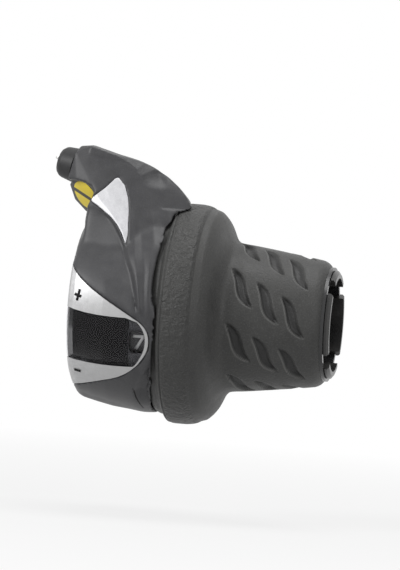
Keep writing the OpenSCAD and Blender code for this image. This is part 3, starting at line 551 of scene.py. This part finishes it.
def leaf_depth(x, angle, radius):
    """Depth of the leaf grooves at a place, and how near its steep edge is, both 0 to 1. The depth
    also sets painted shade in the grooves, and the nearness a painted highlight.
    """
    deepest = nearest = 0.0
    for leaf_x, leaf_angle in leaf_marks:
        turn = (angle - leaf_angle + leaf_pitch / 2) % leaf_pitch - leaf_pitch / 2
        u, w = x - leaf_x, math.radians(turn) * radius
        lengthwise = -u * leaf_sine + w * leaf_cosine
        across = u * leaf_cosine + w * leaf_sine
        share = 0.5 - lengthwise / leaf_length
        if not 0.0 < share < 1.0:
            continue
        half = leaf_half * math.sin(math.pi * share) ** 0.7
        place = across - leaf_bend * math.sin(2 * math.pi * share)
        if place + half > -0.3 and place - half < 0.5:
            rim = ramp(place + half, -0.3, -0.05) * (1 - ramp(place + half, 0.0, 0.25))
            nearest = max(nearest, min(1, half / 0.6) * rim)
        if abs(place) >= half:
            continue
        s = (place + half) / (2 * half)
        hollow = ramp(s, 0.0, 0.22) * (1 - ramp(s, 0.5, 1.0))
        deepest = max(deepest, min(1, half / 0.8) * hollow)
    return deepest, nearest


rubber = bmesh.new()
# Per vertex: the groove depth, which also sets painted shade inside the grooves, and the nearness
# to a groove's steep edge, which sets a painted highlight there.
groove_shade_layer = rubber.verts.layers.float.new("groove")
edge_highlight_layer = rubber.verts.layers.float.new("edge")
rings = []
for x, r in curve_through(rubber_outline, 0.24) + rubber_inner:
    ring = []
    for k in range(grip_sides):
        angle = 360 * k / grip_sides
        grooved = 32.5 < x < 53.5 and r > 14.5
        depth, edge = leaf_depth(x, angle, r) if grooved else (0.0, 0.0)
        radius = r - groove_depth * depth
        turn = math.radians(angle)
        spot = (x * MM, -radius * math.cos(turn) * MM, radius * math.sin(turn) * MM)
        ring.append(rubber.verts.new(spot))
        ring[-1][groove_shade_layer] = depth
        ring[-1][edge_highlight_layer] = edge
    rings.append(ring)
for first, second in zip(rings, rings[1:] + rings[:1]):
    for k in range(grip_sides):
        after = (k + 1) % grip_sides
        rubber.faces.new((first[k], first[after], second[after], second[k]))
bmesh.ops.recalc_face_normals(rubber, faces=rubber.faces)
rubber_paint, rubber_tree, rubber_shader, rubber_colour = moulded(
    "grip_rubber", (0.026, 0.026, 0.025), (0.039, 0.039, 0.0375),
    rough=0.54, grain=0.42, depth=0.09, fleck=0.35, rough_swing=0.2, gloss=0.4, sheen=0.1)
rubber_place = add(rubber_tree, "ShaderNodeTexCoord").outputs["Object"]
grip_x = add(rubber_tree, "ShaderNodeSeparateXYZ", {0: rubber_place}).outputs[0]
band_start = add(rubber_tree, "ShaderNodeMapRange", {0: grip_x, 1: 18.2 * MM, 2: 18.8 * MM})
band_end = add(rubber_tree, "ShaderNodeMapRange", {0: grip_x, 1: 25.4 * MM, 2: 24.6 * MM})
band = reckon(rubber_tree, "MULTIPLY", band_start.outputs[0], band_end.outputs[0])
leather = add(rubber_tree, "ShaderNodeTexNoise", {
    "Vector": rubber_place, "Scale": 900.0, "Detail": 2.5, "Distortion": 0.6})
leather_height = reckon(rubber_tree, "MULTIPLY", leather.outputs[0], band)
leather_bump = add(rubber_tree, "ShaderNodeBump", {
    "Strength": 0.9, "Distance": 0.6 * MM, "Height": leather_height,
    "Normal": rubber_shader.inputs["Normal"].links[0].from_socket})
rubber_tree.links.new(leather_bump.outputs[0], rubber_shader.inputs["Normal"])
# Painted shade: the colour darkens inside the leaf grooves by their depth. Painted highlight: the
# colour lightens along each groove's steep left edge.
groove_shade_mask = add(rubber_tree, "ShaderNodeAttribute", attribute_name="groove").outputs["Fac"]
edge_highlight_mask = add(rubber_tree, "ShaderNodeAttribute", attribute_name="edge").outputs["Fac"]
painted_shade_share = reckon(rubber_tree, "MULTIPLY", groove_shade_mask, 0.9)
groove_shaded_colour = blend_colours(rubber_tree, painted_shade_share, rubber_colour, (0.012, 0.012, 0.012, 1))
painted_highlight_share = reckon(rubber_tree, "MULTIPLY", edge_highlight_mask, 0.75)
edge_highlighted_colour = blend_colours(rubber_tree, painted_highlight_share, groove_shaded_colour, (0.14, 0.14, 0.135, 1))
rubber_tree.links.new(edge_highlighted_colour, rubber_shader.inputs["Base Color"])
piece_from(rubber, "rubber_skin", "grip", "rubber", rubber_paint, "rubber_grip")

# The turning core and the fixed sleeve, both moulded. The sleeve's slotted end shows at the
# grip's open end.
sleeve_paint = moulded("sleeve_plastic", (0.016, 0.016, 0.016), (0.028, 0.027, 0.026),
                       rough=0.3, grain=0.6, depth=0.006, fleck=0.05)[0]
core_paint = moulded("core_plastic", (0.012, 0.012, 0.013), (0.022, 0.022, 0.023),
                     rough=0.26, grain=0.6, depth=0.006, fleck=0.05)[0]
for name, paint in (("inner_sleeve", sleeve_paint), ("grip_core", core_paint)):
    dress(name, paint)
    wear_edges(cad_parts[name], 0.12)

# The indexing parts inside the collar: the spool, detent ring and cable guide are moulded,
# and the wire's cast brass head sits in the spool.
works_paint = moulded("works_plastic", (0.32, 0.32, 0.31), (0.4, 0.4, 0.38),
                      rough=0.42, grain=0.4, depth=0.008)[0]
ring_paint = moulded("ring_plastic", (0.1, 0.13, 0.17), (0.14, 0.17, 0.21),
                     rough=0.4, grain=0.4, depth=0.008)[0]
guide_paint = moulded("guide_plastic", (0.6, 0.6, 0.56), (0.7, 0.7, 0.67),
                      rough=0.35, grain=0.4, depth=0.006)[0]
brass_paint = moulded("cast_brass", (0.5, 0.36, 0.14), (0.62, 0.46, 0.2),
                      rough=0.38, grain=0.3, depth=0.008, metal=0.95)[0]
dress("cable_spool", works_paint)
dress("detent_ring", ring_paint)
dress("cable_guide", guide_paint)
dress("wire_head", brass_paint)

# The indicator: a silver painted bezel with plain plus and minus marks, a clear lens, a bare
# dark card behind it and the number dial that shows at its right end. Bezel and lens are
# copies of the CAD skins that follow the cover's lip.
bezel_paint, bezel_tree, bezel_shader, bezel_colour = moulded(
    "bezel_silver", (0.42, 0.42, 0.425), (0.5, 0.5, 0.505),
    rough=0.42, grain=0.16, depth=0.004, fleck=0.35, metal=0.35)
bezel_place = add(bezel_tree, "ShaderNodeTexCoord").outputs["Object"]
bezel_x = add(bezel_tree, "ShaderNodeSeparateXYZ", {0: bezel_place}).outputs[0]
fade = add(bezel_tree, "ShaderNodeMapRange", {0: bezel_x, 1: -5 * MM, 2: 12 * MM}).outputs[0]
faded = blend_colours(bezel_tree, fade, bezel_colour, (0.42, 0.42, 0.42, 1))
bezel_tree.links.new(faded, bezel_shader.inputs["Base Color"])
bezel = warped_copy("indicator_bezel", lip_warp, "housing", "bezel", bezel_paint)
wear_edges(bezel, 0.12)


def faces_of(node):
    """A tree of a CAD node's faces, to find where a line of sight meets it."""
    shape = bmesh.new()
    shape.from_mesh(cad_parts[node].data)
    tree = BVHTree.FromBMesh(shape)
    shape.free()
    return tree


def strokes(shape, lines, width, height, place):
    """Adds flat bars along lines. place turns (across, up, out) in millimetres into a point."""
    for a, b in lines:
        ux, uz = b[0] - a[0], b[1] - a[1]
        length = math.hypot(ux, uz)
        ux, uz = ux / length, uz / length
        sections = []
        for k in range(6):
            s = (length + 0.6 * width) * k / 5 - 0.3 * width
            corners = ((-width / 2, 0), (width / 2, 0), (width / 2, height), (-width / 2, height))
            sections.append([
                shape.verts.new(place(a[0] + ux * s - uz * t, a[1] + uz * s + ux * t, out))
                for t, out in corners])
        for first, second in zip(sections, sections[1:]):
            for k in range(4):
                shape.faces.new((first[k], first[(k + 1) % 4], second[(k + 1) % 4], second[k]))
        shape.faces.new(sections[0])
        shape.faces.new(sections[-1])
    bmesh.ops.recalc_face_normals(shape, faces=shape.faces)


bezel_faces = faces_of("indicator_bezel")


def on_bezel(x, z, out):
    """A point just above the bezel's face, as seen from the front."""
    spot = bezel_faces.ray_cast(Vector((x, -60, z)) * MM, Vector((0, 1, 0)))[0]
    return spot + Vector((0, -out * MM, 0))


# Black ink for the plus and minus marks. The same paint makes the seam strip below, where it is
# painted shadow for the seam's gap.
ink_and_seam_shade_paint = moulded("ink_and_seam_shade", (0.004, 0.004, 0.004), (0.008, 0.008, 0.008),
                     rough=0.5, grain=0.2, depth=0.003, fleck=0.05, gloss=0.15)[0]
plus = bmesh.new()
strokes(plus, [((-2.10, 3.92), (-2.53, 1.54))], 0.6, 0.06, on_bezel)
strokes(plus, [((-3.08, 2.87), (-1.72, 2.42))], 0.65, 0.06, on_bezel)
piece_from(plus, "plus_mark", "housing", "bezel", ink_and_seam_shade_paint)
minus = bmesh.new()
strokes(minus, [((-3.1, -15.35), (-1.75, -15.65))], 0.5, 0.06, on_bezel)
piece_from(minus, "minus_mark", "housing", "bezel", ink_and_seam_shade_paint)

card_paint = moulded("card_black", (0.005, 0.005, 0.0055), (0.012, 0.0115, 0.0115),
                     rough=0.4, grain=2.0, depth=0.0005, fleck=0.02, gloss=0.1)[0]
dress("indicator_card", card_paint)
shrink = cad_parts["indicator_card"].modifiers.new("off_the_lens", "DISPLACE")
shrink.mid_level = 0
shrink.strength = -0.03 * MM
lens_paint, lens_output = new_material("clear_lens")
lens_tree = lens_paint.node_tree
lens_place = add(lens_tree, "ShaderNodeTexCoord").outputs["Object"]
haze = add(lens_tree, "ShaderNodeTexNoise", {"Vector": lens_place, "Scale": 120.0, "Detail": 2.0})
lens_rough = add(lens_tree, "ShaderNodeMapRange", {0: haze.outputs[0], 3: 0.03, 4: 0.12})
clear = add(lens_tree, "ShaderNodeBsdfTransparent", {"Color": (0.95, 0.95, 0.96, 1)})
shine = add(lens_tree, "ShaderNodeBsdfGlossy", {"Roughness": lens_rough.outputs[0]})
bounce = add(lens_tree, "ShaderNodeFresnel", {"IOR": 1.45})
shine_share = reckon(lens_tree, "MULTIPLY", bounce.outputs[0], 0.2)
mix_shaders(lens_tree, shine_share, clear, shine, lens_output)
warped_copy("indicator_lens", lip_warp, "housing", "lens", lens_paint)

dial_paint = moulded("dial_black", (0.01, 0.01, 0.01), (0.018, 0.018, 0.018),
                     rough=0.35, grain=0.4, depth=0.004, fleck=0.05)[0]
dress("gear_dial", dial_paint)
number_paint = moulded("number_white", (0.7, 0.7, 0.68), (0.8, 0.8, 0.77),
                       rough=0.45, grain=0.3, depth=0.004, fleck=0.1)[0]
# Each number's line, as points (across, up) from 0 to 1.
number_strokes = {
    1: [(0.15, 0.8), (0.38, 1), (0.38, 0)],
    2: [(0, 0.8), (0.12, 0.96), (0.32, 1), (0.52, 0.94), (0.58, 0.76), (0.5, 0.55), (0, 0),
        (0.6, 0)],
    3: [(0.02, 0.9), (0.3, 1), (0.55, 0.85), (0.5, 0.6), (0.25, 0.52), (0.55, 0.42), (0.6, 0.2),
        (0.3, 0), (0, 0.1)],
    4: [(0.45, 0), (0.45, 1), (0, 0.3), (0.62, 0.3)],
    5: [(0.56, 1), (0.08, 1), (0.03, 0.56), (0.35, 0.62), (0.6, 0.42), (0.56, 0.14), (0.3, 0),
        (0, 0.1)],
    6: [(0.5, 0.95), (0.2, 0.85), (0.02, 0.5), (0.05, 0.15), (0.3, 0), (0.58, 0.15), (0.58, 0.4),
        (0.3, 0.56), (0.06, 0.4)],
    7: [(0, 1), (0.62, 1), (0.24, 0)],
}
dial_radius = 23.31
dial_step = 12.5
dial_last = -19.0
number_left, number_width, number_height, number_lean = 11.5, 3.9, 3.1, 0.35
numbers = bmesh.new()
for number, points in number_strokes.items():
    middle = dial_last + (7 - number) * dial_step

    def on_dial(x, z, out, middle=middle):
        """A point on the dial's band, with z as a length round it."""
        turn = math.radians(middle) + z / dial_radius
        reach = dial_radius - 0.03 + out
        return Vector((x, -reach * math.cos(turn), reach * math.sin(turn))) * MM

    shaped = [(number_left + number_width * px + number_lean * (py - 0.5),
               number_height * (py - 0.5)) for px, py in points]
    strokes(numbers, list(zip(shaped, shaped[1:])), 0.72, 0.06, on_dial)
piece_from(numbers, "dial_numbers", "grip", "dial", number_paint)

# The fine seam in the cover below the window, where its lip starts: a thin dark strip that lies on
# the cover's skin, painted shadow standing in for the shade in the seam's gap.
seam_line = [(11.45, -18.9), (11.6, -19.6), (11.82, -21.1), (12.3, -22.5), (12.75, -23.5)]


def on_cover(x, z, out):
    """A point just above the cover's skin, as seen from the front."""
    spot = cover_faces.ray_cast(Vector((x, -60, z)) * MM, Vector((0, 1, 0)))[0]
    return spot + Vector((0, -out * MM, 0))


seam = bmesh.new()
strokes(seam, list(zip(seam_line, seam_line[1:])), 0.34, 0.02, on_cover)
piece_from(seam, "cover_seam", "housing", "housing", ink_and_seam_shade_paint)

# The bright painted insert that is snapped into the horn's front, left bare. Its skin takes
# the same warp as the horn.
insert_skin = remeshed("silver_insert", 0.14)
soften(insert_skin, insert_skin.verts, 5)
for v in insert_skin.verts:
    horn_warp(v)
insert_paint = moulded("insert_silver", (0.56, 0.56, 0.58), (0.64, 0.64, 0.66),
                       rough=0.42, grain=0.2, depth=0.004, fleck=0.3, metal=0.2)[0]
piece_from(insert_skin, "silver_insert_skin", "housing", "insert", insert_paint, "silver_insert")

# The cable port's moulded cap with a plain yellow disc in it. Both are new plates, tilted to
# the horn's face, and the disc has one plain dark band.
cap_paint = moulded("cap_plastic", (0.02, 0.02, 0.02), (0.035, 0.034, 0.033),
                    rough=0.42, grain=0.3, depth=0.01)[0]
disc_paint, disc_tree, disc_shader, disc_colour = moulded(
    "disc_yellow", (0.66, 0.5, 0.02), (0.74, 0.58, 0.03),
    rough=0.38, grain=0.3, depth=0.004, fleck=0.05)
disc_place = add(disc_tree, "ShaderNodeTexCoord").outputs["Object"]
port_middle = Vector((-5.2, -10.4, 27.0)) * MM
port_normal = Vector((-0.55, -0.63, -0.55)).normalized()
port_side = Vector((1, 0, -0.1))
port_along = (port_side - port_normal * port_side.dot(port_normal)).normalized()
port_across = port_normal.cross(port_along)
from_middle = add(disc_tree, "ShaderNodeVectorMath", {0: disc_place, 1: port_middle},
                  operation="SUBTRACT")
slant = add(disc_tree, "ShaderNodeVectorMath", {0: from_middle.outputs[0], 1: port_across},
            operation="DOT_PRODUCT")
height = reckon(disc_tree, "ABSOLUTE", reckon(disc_tree, "ADD", slant.outputs["Value"], 0.2 * MM))
disc_band = add(disc_tree, "ShaderNodeMapRange", {0: height, 1: 0.62 * MM, 2: 0.5 * MM}).outputs[0]
banded = blend_colours(disc_tree, disc_band, disc_colour, (0.025, 0.022, 0.012, 1))
disc_tree.links.new(banded, disc_shader.inputs["Base Color"])


def port_plate(radius, sides, back, front, worn):
    """A plate with the port's tilt, between two heights over its middle, with worn edges."""
    shape = bmesh.new()
    turn = Matrix((port_along, port_across, port_normal)).transposed().to_4x4()
    centre = Matrix.Translation(port_middle + port_normal * (front + back) / 2 * MM)
    bmesh.ops.create_cone(shape, cap_ends=True, segments=sides, radius1=radius * MM,
                          radius2=radius * MM, depth=(front - back) * MM, matrix=centre @ turn)
    rim = [e for e in shape.edges if e.calc_face_angle(0) > 0.6]
    bmesh.ops.bevel(shape, geom=rim, offset=worn * MM, segments=3, profile=0.5, affect="EDGES")
    for edge in shape.edges:
        edge.smooth = edge.calc_face_angle(0) < 0.5
    return shape


cap = port_plate(radius=5.5, sides=8, back=-3.5, front=0.0, worn=0.3)
disc = port_plate(radius=3.85, sides=72, back=-0.6, front=0.1, worn=0.08)
piece_from(cap, "port_cap_tilted", "housing", "cap", cap_paint, "cable_port_cap")
piece_from(disc, "port_disc_tilted", "housing", "disc", disc_paint, "port_disc")

# The moulded adjuster barrel, screwed into the horn, with its casing seat and spring, and the
# bright stranded shift wire in it. The barrel is a copy of the CAD skin that narrows towards
# its mouth.
barrel_paint = moulded("barrel_plastic", (0.018, 0.018, 0.0185), (0.026, 0.026, 0.027),
                       rough=0.5, grain=0.3, depth=0.012, gloss=0.35)[0]
barrel_axis = Vector((-0.96367, 0.14402, 0.22495))
barrel_foot = Vector((-8.05, -7.5, 34)) * MM
bore_reach = 3.2
mouth_taper = 0.09


def taper(v):
    """Narrows the barrel's outside towards its mouth."""
    reach = (v.co - barrel_foot).dot(barrel_axis)
    middle = barrel_foot + barrel_axis * reach
    spoke = v.co - middle
    if reach > 0 and spoke.length > bore_reach * MM:
        v.co = middle + spoke * (1 - mouth_taper * ramp(reach / MM, 0.2, 3.6))


barrel = warped_copy("adjuster_barrel", taper, "barrel", "barrel", barrel_paint)
wear_edges(barrel, 0.12)
dress("casing_seat", works_paint)
dress("barrel_spring", steel_paint)
wire_paint, wire_tree, wire_shader = moulded(
    "wire_strands", (0.5, 0.5, 0.5), (0.7, 0.7, 0.68),
    rough=0.3, grain=0.3, depth=0.01, metal=0.9)[:3]
wire_place = add(wire_tree, "ShaderNodeTexCoord").outputs["Object"]
lay = add(wire_tree, "ShaderNodeTexWave", {
    "Vector": wire_place, "Scale": 900.0, "Distortion": 1.0})
strand_bump = add(wire_tree, "ShaderNodeBump", {
    "Strength": 0.6, "Distance": 0.08 * MM, "Height": lay.outputs[1]})
wire_tree.links.new(strand_bump.outputs[0], wire_shader.inputs["Normal"])
dress("inner_wire", wire_paint)
